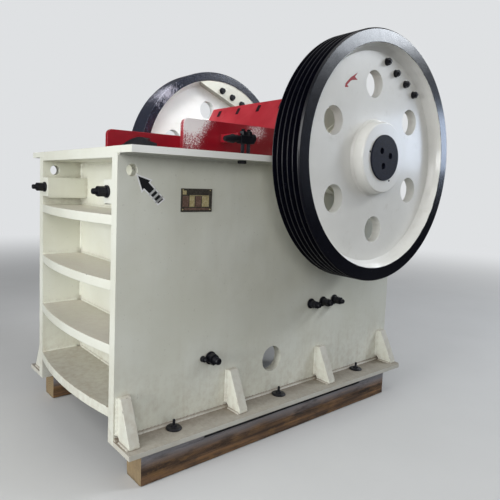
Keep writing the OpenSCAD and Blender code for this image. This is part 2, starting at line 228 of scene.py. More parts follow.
def sprayed_cream(name, dust=0.35, splash=0.0, shelf=0.55, painted_side_light=0.0, shaded_way=None):
    """The frame's cream enamel. shelf: how far a face leans before dust lies on it. painted_side_light:
    how much paler faces that look sideways are painted, a painted highlight. shaded_way: the way that faces
    painted dark with shade look."""
    f = Finish(name)
    spot = f.spot()
    height = f.axis(spot, "Z")
    broad = f.noise(spot, 1.6, 4.0, 0.6)
    fine = f.noise(spot, 30.0, 4.0, 0.6)
    streaks = f.noise(f.stretch(spot, (16.0, 16.0, 1.3)), 1.0, 4.0, 0.65)
    colour = f.mix(f.ease(broad, 0.35, 0.68), tone("dadacb"), tone("e3e4d8"))
    # Faces that look sideways are painted paler: a painted highlight.
    if painted_side_light:
        colour = f.mix(f.ease(f.unsigned(f.facing("Y")), 0.6, 0.9) * painted_side_light, colour, tone("f8f8f2"))
    colour = f.mix(f.ease(streaks, 0.5, 0.8) * 0.10, colour, tone("c3bda8"))
    speck = f.ease(f.noise(spot, 75.0, 2.0, 0.6), 0.67, 0.74)
    colour = f.mix(speck * 0.2, colour, tone("8d8474"))
    deep = f.ease(height, CORNER.z + 0.75, CORNER.z + 0.15)
    drift = f.ease(fine * 0.4 + broad * 0.6, 0.3, 0.8) * 0.45 + 0.3 + deep * 0.3
    lying = f.ease(f.facing("Z"), shelf, shelf + 0.4) * drift
    colour = f.mix(lying * dust, colour, f.mix(deep, tone("c4aca2"), tone("8c7f74")))
    # Faces that look the given way are painted dark with mottled painted shade, as on the counterweight's
    # chord face that looks down towards the shaft.
    if shaded_way:
        towards = f.node("ShaderNodeTexCoord", output="Normal")
        along = f.node("ShaderNodeVectorMath", {"operation": "DOT_PRODUCT"}, {0: towards, 1: shaded_way}, "Value")
        colour = f.mix(f.ease(along, 0.7, 0.9) * (0.5 + fine * 0.4), colour, tone("6e685e"))
    low = f.ease(height, CORNER.z + 0.55, CORNER.z) * f.ease(fine * 0.6 + streaks * 0.5, 0.42, 0.75)
    colour = f.mix(low * splash, colour, tone("9c8468"))
    # Painted shade in corners and seams, together with grime, darkens the cream there.
    shade_and_grime = corner_shade_and_grime(f, 0.055) * f.ease(fine, 0.25, 0.7)
    colour = f.mix(shade_and_grime * 0.42, colour, tone("84725c"))
    chipped = edge_chips(f, spot, 22.0, 0.60, 0.66)
    colour = f.mix(chipped * 0.8, colour, tone("5d5348"))
    peel = f.noise(spot, 260.0, 2.0, 0.5)
    plate = f.noise(spot, 3.2, 2.0, 0.4)
    normal = f.bump(peel * 0.22 + plate * 4.0 + chipped * -0.5, 0.0022)
    rough = 0.34 + fine * 0.12 + lying * 0.3 + shade_and_grime * 0.2 + chipped * 0.3
    return f.close(colour, rough, normal, Coat_Weight=0.12, Coat_Roughness=0.2)


def dusty_cream(name):
    """The base flanges: the same enamel under brown yard dust."""
    f = Finish(name)
    spot = f.spot()
    patch = f.noise(spot, 5.0, 5.0, 0.6)
    fine = f.noise(spot, 46.0, 4.0, 0.65)
    upward = f.ease(f.facing("Z"), 0.4, 0.9)
    inboard = f.ease(f.unsigned(f.axis(spot, "Y")), BASE_OUT - 0.02, PLATE_OUT + 0.03)
    drift = f.ease(patch * 0.7 + fine * 0.45, 0.32, 0.72)
    settled = upward * (0.45 + drift * 0.3 + inboard * 0.25)
    colour = f.mix(f.ease(patch, 0.35, 0.65), tone("c8c4b7"), tone("d2d0c5"))
    colour = f.mix(settled * 0.92, colour, tone("786e61"))
    # Painted shade in corners and seams, together with grime, darkens the cream there.
    shade_and_grime = corner_shade_and_grime(f, 0.06)
    colour = f.mix(shade_and_grime * 0.55, colour, tone("75604a"))
    chipped = edge_chips(f, spot, 16.0, 0.52, 0.6)
    colour = f.mix(chipped * 0.85, colour, tone("6a5a4c"))
    normal = f.bump(fine * 0.5 + patch * 2.0, 0.002)
    rough = 0.42 + settled * 0.4 + fine * 0.1
    return f.close(colour, rough, normal, Coat_Weight=0.05, Coat_Roughness=0.3)


def sprayed_red(name, dark, light, clouds=()):
    """Gloss red of guards and castings. clouds: centres and half sizes of stray white paint."""
    f = Finish(name)
    spot = f.spot()
    broad = f.noise(spot, 4.0, 3.0, 0.5)
    fine = f.noise(spot, 60.0, 3.0, 0.6)
    colour = f.mix(f.ease(broad, 0.3, 0.7), tone(dark), tone(light))
    lying = thin_dust(f, fine)
    colour = f.mix(lying * 0.25, colour, tone("8f6a5e"))
    # Painted shade in corners and seams, together with grime, darkens the red there.
    shade_and_grime = corner_shade_and_grime(f, 0.04)
    colour = f.mix(shade_and_grime * 0.5, colour, tone("4a1a1a"))
    mist = 0.0
    for centre, half, strength in clouds:
        inside = f.stretch(f.shift(spot, centre), [1 / max(h, 1e-3) for h in half])
        mist = f.ease(f.span(inside), 1.3, 0.1) * strength + mist
    if clouds:
        mist = mist * (0.4 + f.ease(f.facing("X"), -0.8, -0.4) * 0.6)
    rough = 0.27 + fine * 0.12 + lying * 0.3
    if clouds:
        flecks = f.noise(spot, 210.0, 2.0, 0.5) * 0.7 + f.noise(spot, 75.0, 2.0, 0.6) * 0.3
        white = f.ease(flecks + mist * 0.44, 0.67, 0.88) * f.ease(mist, 0.02, 0.1)
        colour = f.mix(f.ease(mist, 0.1, 0.9) * 0.4, colour, tone("e08f9c"))
        colour = f.mix(white * 0.95, colour, tone("fffafa"))
        rough = rough + white * 0.2
    chipped = edge_chips(f, spot, 28.0, 0.58, 0.64)
    colour = f.mix(chipped * 0.8, colour, tone("3b2a28"))
    normal = f.bump(f.noise(spot, 240.0, 2.0) * 0.25 + f.noise(spot, 9.0, 2.0) * 2.0, 0.002)
    return f.close(colour, rough, normal, Coat_Weight=0.2, Coat_Roughness=0.15)


def wheel_enamel(name, ring_in, dull, clean, rim_dark, rim_light, sheen_spot=None):
    """Black enamel on the rim, cream on web and hub, parted ring_in from the shaft. sheen_spot: where
    a pale sheen is painted on the rim, a painted reflection."""
    f = Finish(name)
    spot = f.spot()
    radius = from_shaft(f, spot)
    fine = f.noise(spot, 55.0, 4.0, 0.6)
    broad = f.noise(spot, 2.4, 4.0, 0.6)
    waver = f.noise(spot, 14.0, 3.0, 0.6) * 0.004
    rim = f.ease(radius + waver, ring_in + 0.0005, ring_in + 0.0025)
    cream = f.mix(f.ease(broad, 0.3, 0.7), tone(dull), tone(clean))
    stain = f.ease(f.noise(spot, 12.0, 5.0, 0.7), 0.56, 0.75)
    cream = f.mix(stain * 0.18, cream, tone("b9b3a4"))
    # Painted shade in corners and seams, together with grime, darkens the web's cream there.
    shade_and_grime = corner_shade_and_grime(f, 0.05)
    cream = f.mix(shade_and_grime * 0.45, cream, tone("8b7d66"))
    black = f.mix(f.ease(fine, 0.45, 0.75), tone(rim_dark), tone(rim_light))
    scuffs = f.ease(f.noise(spot, 34.0, 5.0, 0.75), 0.62, 0.76)
    black = f.mix(scuffs * 0.16, black, tone("4a4c54"))
    # A painted reflection: a pale streaky patch on the rim stands in for a window's sheen.
    if sheen_spot:
        reach = f.span(f.stretch(f.shift(spot, sheen_spot), (7.5, 4.0, 7.5)))
        streaks = f.noise(f.stretch(spot, (1.0, 1.0, 0.5)), 62.0, 5.0, 0.7)
        black = f.mix(f.ease(streaks - reach * 0.3, 0.2, 0.52) * 0.85, black, tone("b9b8c6"))
    colour = f.mix(rim, cream, black)
    cast = f.noise(spot, 180.0, 3.0, 0.6)
    normal = f.bump(cast * 0.025 + f.noise(spot, 7.0, 2.0) * 0.8, 0.0016)
    cream_rough = 0.26 + fine * 0.1 + shade_and_grime * 0.2
    side = f.facing("Y")
    black_rough = 0.22 + fine * 0.04 + scuffs * 0.08 + (1 - side * side) * 0.2
    rough = cream_rough * (1 - rim) + black_rough * rim
    return f.close(colour, rough, normal, Coat_Weight=0.35, Coat_Roughness=0.12)


def blackened_steel(name):
    """Black-painted bolts, nuts and clamps."""
    f = Finish(name)
    spot = f.spot()
    fine = f.noise(spot, 90.0, 4.0, 0.65)
    colour = f.mix(f.ease(fine, 0.4, 0.75), tone("07070f"), tone("14151f"))
    lying = thin_dust(f, fine)
    colour = f.mix(lying * 0.25, colour, tone("4e4843"))
    worn = broken_edge(f) * f.ease(f.noise(spot, 40.0, 4.0, 0.7), 0.5, 0.62)
    colour = f.mix(worn * 0.4, colour, tone("5e5e62"))
    normal = f.bump(fine, 0.0005)
    return f.close(colour, 0.42 + fine * 0.2 - worn * 0.1, normal, Specular_IOR_Level=0.35)


def shaft_enamel(name):
    """Blue-black paint over the turned shaft; lathe rings show on its ends."""
    f = Finish(name)
    spot = f.spot()
    radius = from_shaft(f, spot)
    fine = f.noise(spot, 70.0, 4.0, 0.65)
    colour = f.mix(f.ease(fine, 0.35, 0.75), tone("0a0d1c"), tone("181d31"))
    colour = f.mix(f.ease(f.noise(spot, 30.0, 5.0, 0.7), 0.6, 0.75) * 0.25, colour, tone("4a4e58"))
    rings = f.wave(radius * 2600.0)
    normal = f.bump(rings * 0.12 + fine * 0.8, 0.0006)
    return f.close(colour, 0.52 + fine * 0.15, normal, Specular_IOR_Level=0.3)


def cast_manganese(name, gloss=0.0):
    """Jaw castings: pitted dark steel, barer on the edges of the teeth."""
    f = Finish(name)
    spot = f.spot()
    pits = f.noise(spot, 130.0, 4.0, 0.7)
    broad = f.noise(spot, 6.0, 4.0, 0.6)
    colour = f.mix(f.ease(broad, 0.35, 0.7), tone("121217"), tone("242328"))
    colour = f.mix(f.ease(f.noise(spot, 17.0, 5.0, 0.7), 0.58, 0.75) * 0.5, colour, tone("4a382c"))
    colour = f.mix(broken_edge(f) * 0.3, colour, tone("606060"))
    normal = f.bump(pits * 0.8 + broad * 2.0, 0.0016)
    rough = 0.5 - 0.18 * gloss + pits * 0.2
    return f.close(colour, rough, normal, 0.25, Coat_Weight=0.1 + 0.2 * gloss, Coat_Roughness=0.25)


def mill_steel(name, dark, light, rusty=0.6):
    """Unpainted rolled steel with its blue-grey scale and a little rust."""
    f = Finish(name)
    spot = f.spot()
    broad = f.noise(spot, 8.0, 4.0, 0.6)
    fine = f.noise(spot, 80.0, 4.0, 0.6)
    colour = f.mix(f.ease(broad, 0.35, 0.7), tone(dark), tone(light))
    rust = f.ease(f.noise(spot, 21.0, 5.0, 0.75), 0.56, 0.72)
    colour = f.mix(rust * rusty, colour, tone("6b4630"))
    normal = f.bump(fine * 0.6 + rust * 0.5, 0.0012)
    return f.close(colour, 0.42 + fine * 0.15 + rust * 0.3, normal, 0.55)


def brass_sheet(name):
    """Etched and aged brass of the nameplate."""
    f = Finish(name)
    spot = f.spot()
    fine = f.noise(spot, 120.0, 4.0, 0.65)
    colour = f.mix(f.ease(fine, 0.35, 0.7), tone("c3b27c"), tone("e4d8ad"))
    stain = f.ease(f.noise(spot, 60.0, 4.0, 0.7), 0.54, 0.7)
    colour = f.mix(stain * 0.5, colour, tone("7a6848"))
    return f.close(colour, 0.36 + fine * 0.2, f.bump(fine, 0.0003), 0.3)


def plate_lacquer(name, dark, light):
    """Lacquer on the nameplate, rubbed thin in places."""
    f = Finish(name)
    spot = f.spot()
    fine = f.noise(spot, 140.0, 3.0, 0.6)
    colour = f.mix(f.ease(fine, 0.4, 0.7), tone(dark), tone(light))
    return f.close(colour, 0.35 + fine * 0.2, f.bump(fine, 0.0002), Coat_Weight=0.2, Coat_Roughness=0.2)


def stencil_paint(name, light, dark):
    """Brushed-on marking paint, thin in places."""
    f = Finish(name)
    spot = f.spot()
    fine = f.noise(spot, 90.0, 4.0, 0.65)
    colour = f.mix(f.ease(fine, 0.5, 0.8), tone(dark), tone(light))
    return f.close(colour, 0.52 + fine * 0.15, f.bump(fine, 0.0003))


def sawn_timber(name):
    """Old sawn hardwood: orange-brown below, greyed on top, with a painted shadow under the base flange."""
    f = Finish(name)
    spot = f.spot()
    height = f.axis(spot, "Z")
    drift = f.noise(spot, 3.0, 3.0, 0.5)
    grain = f.noise(f.stretch(spot, (1.6, 42.0, 42.0)), 1.0, 5.0, 0.6)
    fibre = f.noise(f.stretch(spot, (7.0, 260.0, 260.0)), 1.0, 3.0, 0.6)
    ends = f.ease(f.unsigned(f.facing("X")), 0.6, 0.9)
    pith = f.span(f.stretch(f.shift(spot, (0.0, 0.58, 0.02)), (0.0, 1.0, 1.0)))
    rings = f.wave(pith * 420.0 + drift * 9.0)
    colour = f.mix(f.ease(grain, 0.3, 0.7), tone("46362a"), tone("7f6044"))
    colour = f.mix(f.ease(drift * 0.5 + grain * 0.5, 0.5, 0.7), colour, tone("987049"))
    blotch = f.noise(f.stretch(spot, (9.0, 22.0, 22.0)), 1.0, 5.0, 0.7)
    colour = f.mix(f.ease(blotch, 0.50, 0.66) * 0.6, colour, tone("8a683f"))
    colour = f.mix(f.ease(blotch, 0.46, 0.34) * 0.55, colour, tone("4a3d33"))
    colour = f.mix(ends * 0.8, colour, tone("a5916f"))
    colour = f.mix(ends * f.ease(rings, -0.2, 0.9) * 0.45, colour, tone("6e5a40"))
    weather = f.ease(height + drift * 0.05, 0.095, 0.180) * (1 - ends)
    colour = f.mix(weather * 0.9, colour, tone("a2a1a5"))
    oil = f.ease(f.noise(f.stretch(spot, (2.2, 9.0, 9.0)), 1.0, 5.0, 0.7), 0.50, 0.66)
    colour = f.mix(oil * (0.7 - ends * 0.5), colour, tone("2a211b"))
    # Painted shadow of the base flange: a near-black band along the timber's top under the flange.
    along = f.axis(spot, "X")
    under_flange = f.ease(along, -0.66, -0.645) * f.ease(along, 0.72, 0.70) * (1 - ends)
    shaded = f.ease(height + fibre * 0.003, 0.1395, 0.1430) * under_flange
    colour = f.mix(shaded * 0.95, colour, tone("08080b"))
    # Darker towards the bottom.
    lower_darkening = f.ease(height + drift * 0.03, 0.035, 0.0)
    colour = f.mix(lower_darkening * 0.6, colour, tone("1e1712"))
    normal = f.bump(grain * 1.6 + fibre * 0.7, 0.0028)
    return f.close(colour, 0.66 + grain * 0.22, normal)


CREAM = sprayed_cream("sprayed_cream", dust=0.30, splash=0.30)
CREAM_RIBS = sprayed_cream("sprayed_cream_dusty", dust=0.62, splash=0.35)
# The top flanges' sideways faces carry a painted highlight.
CREAM_FLANGE = sprayed_cream("sprayed_cream_side_lit", dust=0.30, painted_side_light=0.9)
# The gussets' sloped faces take dust at a slight lean, thick enough to paint their shade as well as dust.
CREAM_GUSSET_SHADED = sprayed_cream("sprayed_cream_sloping_shaded", dust=0.55, splash=0.25, shelf=0.12)
# The counterweights' chord faces, which look down towards the shaft, carry painted shade.
CREAM_WEIGHT = sprayed_cream("sprayed_cream_weight", dust=0.30, shaded_way=(-0.42, 0.0, -0.91))
CREAM_BASE = dusty_cream("dusty_cream")
RED = sprayed_red("sprayed_red", "a01f2a", "b4343d")
# The guards' red is a darker copy of the castings' red: it paints the shade that lies on the guards.
RED_GUARD_SHADED = sprayed_red("sprayed_red_guard_shaded", "850b1b", "9a1022")
# The same darker red, with its painted shade, under stray white paint.
RED_MISTED = sprayed_red("sprayed_red_misted", "850b1b", "9a1022", clouds=(
    (place(0.485, -0.455, 1.665), (0.165, 0.20, 0.085), 1.0),
    (place(0.470, -0.455, 1.570), (0.120, 0.20, 0.110), 0.62),
    (place(0.950, -0.455, 1.640), (0.110, 0.20, 0.080), 0.60),
))
BLACK = blackened_steel("blackened_steel")
SHAFT_PAINT = shaft_enamel("shaft_enamel")
MANGANESE = cast_manganese("cast_manganese")
MANGANESE_PAINTED = cast_manganese("cast_manganese_painted", gloss=1.0)
STEEL = mill_steel("mill_steel", "34363a", "4b4d50")
BRIGHT = mill_steel("bright_thread", "3a3b43", "5c5d66", 0.25)
BRASS = brass_sheet("brass_sheet")
LACQUER = plate_lacquer("plate_lacquer", "3b3831", "58534a")
LACQUER_BROWN = plate_lacquer("plate_lacquer_brown", "6b5448", "8a7062")
MARK_BLACK = stencil_paint("mark_black", "1d1d24", "08080c")
MARK_WHITE = stencil_paint("mark_white", "fbfbfa", "f0f0ee")
MARK_RED = stencil_paint("mark_red", "c20d1e", "a50a18")
TIMBER = sawn_timber("sawn_timber")
WHEEL_NEAR = wheel_enamel("wheel_enamel_near", RING_IN_NEAR, "e8e7e0", "f0efe9", "02020c", "090a17")
# The far wheel's rim black is painted lighter and bluer than the near one's, a painted sheen; a pale patch
# of painted reflection lies on its ring.
WHEEL_FAR = wheel_enamel("wheel_enamel_far", RING_IN_FAR, "f0f0ee", "f8f8f6", "1a1d2b", "2f3344",
                         sheen_spot=place(1.058, 0.722, 2.020))


# Making pieces

UP, DOWN = (0, 0, 1), (0, 0, -1)
FORWARD, REARWARD = (-1, 0, 0), (1, 0, 0)
NUT_HEIGHT = 0.6  # as a share of the width across flats
HEAD_HEIGHT = 0.62
BEAD_SECTION = ((1.0, -0.04), (0.72, 0.42), (0.42, 0.72), (-0.04, 1.0), (-0.04, -0.04))


def shown(name, data):
    """An object that stands in the scene."""
    thing = bpy.data.objects.new(name, data)
    bpy.context.scene.collection.objects.link(thing)
    return thing


def solid(name, bm, finish):
    """Turns a bmesh into an object of one finish."""
    mesh = bpy.data.meshes.new(name)
    bm.to_mesh(mesh)
    bm.free()
    mesh.materials.append(finish)
    return shown(name, mesh)


def stand(name, bm, finish, replaces=(), crease=38.0, body="frame"):
    """Turns a bmesh into a piece that rides on a body."""
    piece = solid(name, bm, finish)
    piece.data.polygons.foreach_set("use_smooth", [True] * len(piece.data.polygons))
    piece.data.set_sharp_from_angle(angle=math.radians(crease))
    weighted = piece.modifiers.new("flat faces stay flat", "WEIGHTED_NORMAL")
    weighted.keep_sharp = True
    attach(piece, body)
    if replaces:
        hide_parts(*replaces)


def dressed(node, finish, edge=0.003, body="frame", planed=None):
    """A CAD solid with its edges broken. planed: a point and a way; what lies beyond is cut off."""
    bm = bmesh.new()
    bm.from_mesh(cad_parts[node].data)
    bmesh.ops.remove_doubles(bm, verts=bm.verts, dist=1e-5)
    bmesh.ops.dissolve_limit(bm, angle_limit=math.radians(0.4), verts=bm.verts, edges=bm.edges)
    if planed:
        point, way = planed
        everything = bm.verts[:] + bm.edges[:] + bm.faces[:]
        cut = bmesh.ops.bisect_plane(bm, geom=everything, plane_co=point, plane_no=way, clear_outer=True)
        rim = [e for e in cut["geom_cut"] if isinstance(e, bmesh.types.BMEdge)]
        bmesh.ops.holes_fill(bm, edges=rim, sides=0)
    layer = bm.faces.layers.float.new("edge")
    sharp = [e for e in bm.edges if e.is_manifold and e.calc_face_angle(0.0) > math.radians(30)]
    made = bmesh.ops.bevel(bm, geom=sharp, offset=edge, segments=2, profile=0.6,
                           affect="EDGES", clamp_overlap=True, material=-1)
    for face in made["faces"]:
        face[layer] = 1.0
    stand(node + "_dressed", bm, finish, [node], body=body)


def basis(direction):
    """A rotation that takes +Z to direction."""
    return Vector(direction).to_track_quat("Z", "Y").to_matrix().to_4x4()


def around_shaft(radius, angle, across):
    """A point at some distance from the shaft's middle line."""
    return SHAFT + Vector((radius * math.cos(angle), across, radius * math.sin(angle)))


def circle(count):
    """So many angles, spread evenly over a full turn."""
    return [math.tau * k / count for k in range(count)]


def skin(bm, lower, upper):
    """Faces between two rings of points."""
    for k in range(len(lower)):
        n = (k + 1) % len(lower)
        bm.faces.new((lower[k], lower[n], upper[n], upper[k]))


def loft(bm, rings):
    """Faces between rings that follow each other, with a cap at each end."""
    for lower, upper in zip(rings, rings[1:]):
        skin(bm, lower, upper)
    return [bm.faces.new(list(reversed(rings[0]))), bm.faces.new(rings[-1])]


def turned(bm, profile, base, direction, sides=32):
    """A lathe-turned solid. profile: (radius, height) pairs, closed at the axis by caps."""
    seat = Matrix.Translation(base) @ basis(direction)
    loft(bm, [[bm.verts.new(seat @ Vector((radius * math.cos(a), radius * math.sin(a), height)))
               for a in circle(sides)] for radius, height in profile])


def threaded(bm, radius, length, pitch, base, direction):
    """A threaded rod with a chamfered tip."""
    root, tip = radius - pitch * 0.55, radius - pitch * 0.77
    turns = int((length - pitch) / pitch)
    profile = [(radius, 0.0)]
    for k in range(turns):
        profile += [(radius, (k + 0.15) * pitch), (root, (k + 0.62) * pitch)]
    profile += [(radius, turns * pitch), (tip, length)]
    turned(bm, profile, base, direction, 24)


def nut(bm, flats, height, base, direction, turn=0.0, both_ends=True):
    """A hexagon with the corners chamfered as on a real nut or, at one end only, a bolt head."""
    seat = Matrix.Translation(base) @ basis(direction) @ Matrix.Rotation(turn, 4, "Z")
    inner = flats / 2 * 0.94
    rings = [[] for _ in range(4 if both_ends else 3)]
    for a in circle(48):
        off = (a + math.pi / 6) % (math.pi / 3) - math.pi / 6
        reach = flats / 2 / math.cos(off)
        drop = (reach - inner) * math.tan(math.radians(30))
        foot = [(inner, 0.0), (reach, drop)] if both_ends else [(reach, 0.0)]
        for ring, (r, z) in zip(rings, foot + [(reach, height - drop), (inner, height)]):
            ring.append(bm.verts.new(seat @ Vector((r * math.cos(a), r * math.sin(a), z))))
    loft(bm, rings)


def washer(bm, radius, thickness, base, direction):
    """A round washer with its rims broken."""
    rim = min(thickness * 0.3, 0.002)
    profile = [(radius - rim, 0.0), (radius, rim), (radius, thickness - rim), (radius - rim, thickness)]
    turned(bm, profile, base, direction, 40)


def stud(bm, base, direction, rod, flats, reach, pitch, plate, nuts=1, rim=0.0):
    """A washer, one or two nuts and the rod's threaded end, standing on a face."""
    way = Vector(direction).normalized()
    washer(bm, rim or rod * 2.1, plate, base, way)
    level = plate
    for _ in range(nuts):
        nut(bm, flats, flats * NUT_HEIGHT, base + way * level, way, random.uniform(0, 1.0))
        level += flats * NUT_HEIGHT
    threaded(bm, rod, reach - level, pitch, base + way * level, way)


def bolt(bm, base, direction, flats, plate):
    """A hexagon head on its washer."""
    way = Vector(direction).normalized()
    washer(bm, flats * 0.78, plate, base, way)
    nut(bm, flats, flats * HEAD_HEIGHT, base + way * plate, way, random.uniform(0, 1.0), both_ends=False)


def block(bm, low, high, edge, seat=Matrix.Identity(4)):
    """A box between two corners of seat's space, its edges rounded by edge."""
    centre, size = (Vector(low) + Vector(high)) / 2, Vector(high) - Vector(low)
    where = seat @ Matrix.Translation(centre) @ Matrix.Diagonal((*size, 1.0))
    made = bmesh.ops.create_cube(bm, size=1.0, matrix=where)
    edges = list({e for v in made["verts"] for e in v.link_edges})
    bmesh.ops.bevel(bm, geom=edges, offset=edge, segments=2, profile=0.6, affect="EDGES")


def bead(bm, start, end, leg, first, second):
    """A weld from start to end in the corner between faces that run towards first and second."""
    first, second = Vector(first).normalized(), Vector(second).normalized()
    count = max(2, int((end - start).length / 0.007))
    rows = []
    for k in range(count + 1):
        centre = start.lerp(end, k / count)
        swell = leg * (1.0 + 0.10 * math.sin(k * 1.9) + random.uniform(-0.06, 0.06))
        rows.append([bm.verts.new(centre + first * (a * swell) + second * (b * swell))
                     for a, b in BEAD_SECTION])
    loft(bm, rows)
    bmesh.ops.recalc_face_normals(bm, faces=bm.faces)


# Timbers


def timber(side):
    """A sawn sleeper: waney faces, splits that run with the grain, rough ends."""
    low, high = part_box(f"timber_{side}")
    width, height = high.y - low.y, high.z - low.z
    stations, half_split, split_depth, worn_depth = 150, 0.016, 0.011, 0.004
    splits = [(random.uniform(0.15, 0.85), random.uniform(0.0, 0.7), random.uniform(0.25, 0.5))
              for _ in range(10)]
    splits_of = [splits[face * 2:face * 2 + 3] for face in range(4)]
    around = []
    for face in range(4):
        steps = {k / 9 for k in range(9)}
        for at, _, _ in splits_of[face]:
            steps |= {at - half_split, at, at + half_split}
        around += [(face, share) for share in sorted(steps)]
    corners = [(0.0, 0.0), (1.0, 0.0), (1.0, 1.0), (0.0, 1.0)]
    inward = [(0.0, 1.0), (-1.0, 0.0), (0.0, -1.0), (1.0, 0.0)]
    bm = bmesh.new()
    rows = []
    for i in range(stations + 1):
        t = i / stations
        x = low.x + (high.x - low.x) * t
        row = []
        for face, share in around:
            start, end = corners[face], corners[(face + 1) % 4]
            y = low.y + width * (start[0] + (end[0] - start[0]) * share)
            z = low.z + height * (start[1] + (end[1] - start[1]) * share)
            rough = 0.0012 + 0.0014 * noise.noise(Vector((x * 5, y * 60, z * 60)))
            rough += 0.0025 * abs(noise.noise(Vector((x * 2, y * 14 + face, z * 14))))
            for at, begin, length in splits_of[face]:
                if abs(share - at) < 0.003 and begin < t < begin + length:
                    rough += split_depth * math.sin(math.pi * (t - begin) / length) ** 0.5
            worn = worn_depth * max(0.0, 1 - min(share, 1 - share) / 0.06)
            push = Vector((0.0, *inward[face])) * (rough + worn)
            row.append(bm.verts.new(Vector((x, y, z)) + push))
        rows.append(row)
    for lower, upper in zip(rows, rows[1:]):
        skin(bm, lower, upper)
    middle = Vector((0.0, (low.y + high.y) / 2, (low.z + high.z) / 2))
    for row, way in ((rows[0], 1), (rows[-1], -1)):
        outer = row
        for scale in (0.93, 0.75, 0.5, 0.25):
            inner = []
            for v in row:
                spot = middle + (v.co - middle) * scale
                spot.x = v.co.x + way * 0.002 * abs(noise.noise(Vector((spot.y * 45, spot.z * 45, 3.0))))
                inner.append(bm.verts.new(spot))
            skin(bm, outer, inner)
            outer = inner
        bm.faces.new(outer)
    bmesh.ops.recalc_face_normals(bm, faces=bm.faces)
    stand(f"sleeper_{side}", bm, TIMBER, [f"timber_{side}"], 30.0)


# Fasteners

LINER_BOLT = [(0.0195, 0.0), (0.0195, 0.030), (0.017, 0.034), (0.010, 0.034), (0.010, 0.024)]
SHAFT_SCREW = [(0.0182, 0.0), (0.0182, 0.020), (0.0166, 0.0215), (0.0095, 0.0215), (0.0095, 0.012)]
HUB_DOT = [(0.006, 0.0), (0.006, 0.0012), (0.004, 0.0018)]
RIVET = [(0.0042, 0.0), (0.0040, 0.0008), (0.0028, 0.0014), (0.0008, 0.0017)]
CLAMP_PIN = [(0.012, 0.0), (0.015, 0.006), (0.024, 0.052), (0.025, 0.060), (0.020, 0.062),
             (0.020, 0.185), (0.024, 0.186), (0.024, 0.209), (0.021, 0.212)]
ANCHOR_PIN = [(0.043, 0.0), (0.043, 0.004), (0.037, 0.010), (0.018, 0.012), (0.016, 0.020),
              (0.0075, 0.022), (0.0075, 0.046), (0.005, 0.050)]
# Bolts of the counterweights, along and up from the shaft
WEIGHT_BOLTS = {"near": ((0.075, 0.590), (0.175, 0.535), (0.287, 0.484), (0.387, 0.430)),
                "far": ((0.044, 0.607), (0.156, 0.564), (0.267, 0.517), (0.367, 0.470))}


def slot_plugs():
    """Black rubber plugs that close the jaw guard's four slots, their lips on its face."""
    bm = bmesh.new()
    lean = Matrix.Rotation(math.radians(28.1), 4, "Y")
    for across in (-0.325, -0.108, 0.108, 0.325):
        seat = Matrix.Translation(place(1.115, across, 1.520)) @ lean
        block(bm, (-0.0025, -0.0145, 0.345), (0.0, 0.0145, 0.395), 0.001, seat)
        block(bm, (0.0, -0.0105, 0.3485), (0.014, 0.0105, 0.3915), 0.001, seat)
    stand("slot_plugs", bm, BLACK, body="swing_jaw")


def side_studs(side, sign):
    """Guide studs of the toggle block, and the liner's stud with a small one beside it."""
    out, face = (0, sign, 0), sign * PLATE_OUT
    bm = bmesh.new()
    for along in (1.427, 1.546, 1.665):
        stud(bm, place(along, face, TOGGLE_UP), out,
             rod=0.016, flats=0.044, reach=0.082, pitch=0.0036, plate=0.009, nuts=2)
    stud(bm, place(0.597, face, 0.341), out,
         rod=0.020, flats=0.058, reach=0.082, pitch=0.0045, plate=0.009, rim=0.037)
    stud(bm, place(0.542, face, 0.345), out,
         rod=0.009, flats=0.028, reach=0.042, pitch=0.0025, plate=0.008, rim=0.0175)
    stand(f"side_stud_set_{side}", bm, BLACK, [f"side_studs_{side}"])


def anchor_pins(side, sign):
    """A dished washer, a collar and a thin rod over each anchor hole."""
    bm = bmesh.new()
    for along in (0.326, 1.106, 1.886):
        turned(bm, ANCHOR_PIN, place(along, sign * 0.597, BASE_TOP), UP, 36)
    stand(f"anchor_pins_{side}", bm, BLACK)


def tie_block(side, sign):
    """The clamping block in the top bay, and the stud that stands out of its front."""
    inner, outer = sorted((sign * (PLATE_IN - TIE_WIDE), sign * PLATE_IN))
    bm = bmesh.new()
    block(bm, place(0.0, inner, TIE_LOW), place(RECESS, outer, TIE_TOP), 0.003)
    stand(f"tie_box_{side}", bm, CREAM, [f"tie_block_{side}"])
    bm = bmesh.new()
    middle = place(0.0, sign * (PLATE_IN - TIE_WIDE / 2), (TIE_LOW + TIE_TOP) / 2)
    washer(bm, 0.031, 0.012, middle, FORWARD)
    nut(bm, 0.046, 0.046, middle + Vector((-0.012, 0, 0)), FORWARD, 0.3)
    threaded(bm, 0.015, 0.0240, 0.0038, middle + Vector((-0.058, 0, 0)), FORWARD)
    stand(f"tie_stud_{side}", bm, BLACK, [f"tie_block_{side}"])


